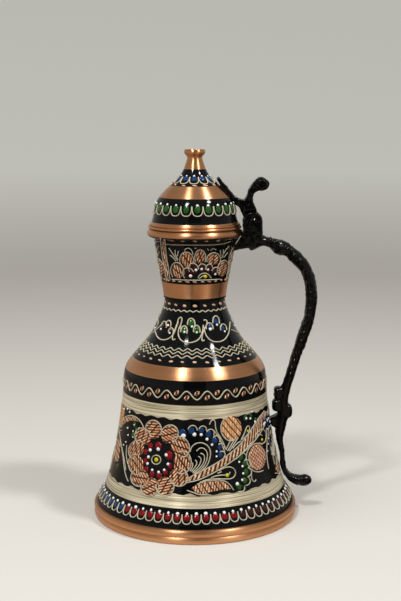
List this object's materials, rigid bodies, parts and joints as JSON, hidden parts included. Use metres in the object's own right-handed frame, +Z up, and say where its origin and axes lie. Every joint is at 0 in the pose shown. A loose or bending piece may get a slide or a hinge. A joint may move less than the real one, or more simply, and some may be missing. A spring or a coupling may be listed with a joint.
{
  "type": "copper water jug",
  "caption": "Bell-shaped spun copper water jug with a funnel neck, a hinged domed lid with a thumb lever and a tall cast handle with a curled tail.",
  "frame": {"origin": "centre of the flat bottom disc, on the jug's turning axis, at the height of the table", "axes": "+Z up along the jug's turning axis, +X towards the handle, +Y completes the right-handed frame"},
  "size_m": [0.1593, 0.1456, 0.26],
  "materials": {
    "lacquered_copper": "copper sheet with black lacquer and painted ornament, bare in bands",
    "bare_copper": "spun and polished bare copper",
    "black_casting": "cast and black lacquered, glossy",
    "fixings": "hammered copper and brass fixings",
    "iron_wire": "drawn wire, hidden in the roll"
  },
  "bodies": {
    "root": {"body_shell": "lacquered_copper", "base_plate": "bare_copper", "foot_band": "bare_copper", "neck_collar": "lacquered_copper", "rim_wire": "iron_wire", "handle": "black_casting", "handle_neck_rivets": "fixings", "handle_neck_burrs": "fixings", "handle_foot_rivet": "fixings", "handle_foot_burr": "fixings", "hinge_pin": "fixings"},
    "lid": {"lid_dome": "lacquered_copper", "lid_collar": "bare_copper", "finial": "bare_copper", "finial_washer": "fixings", "finial_nut": "fixings", "lid_lever": "black_casting", "lever_rivets": "fixings", "lever_burrs": "fixings"}
  },
  "joints": [
    {"name": "lid_hinge", "type": "hinge", "parent": "root", "child": "lid", "pos_m": [0.0405, 0, 0.21025], "axis": [0, 1, 0], "range_deg": [0, 90]}
  ]
}
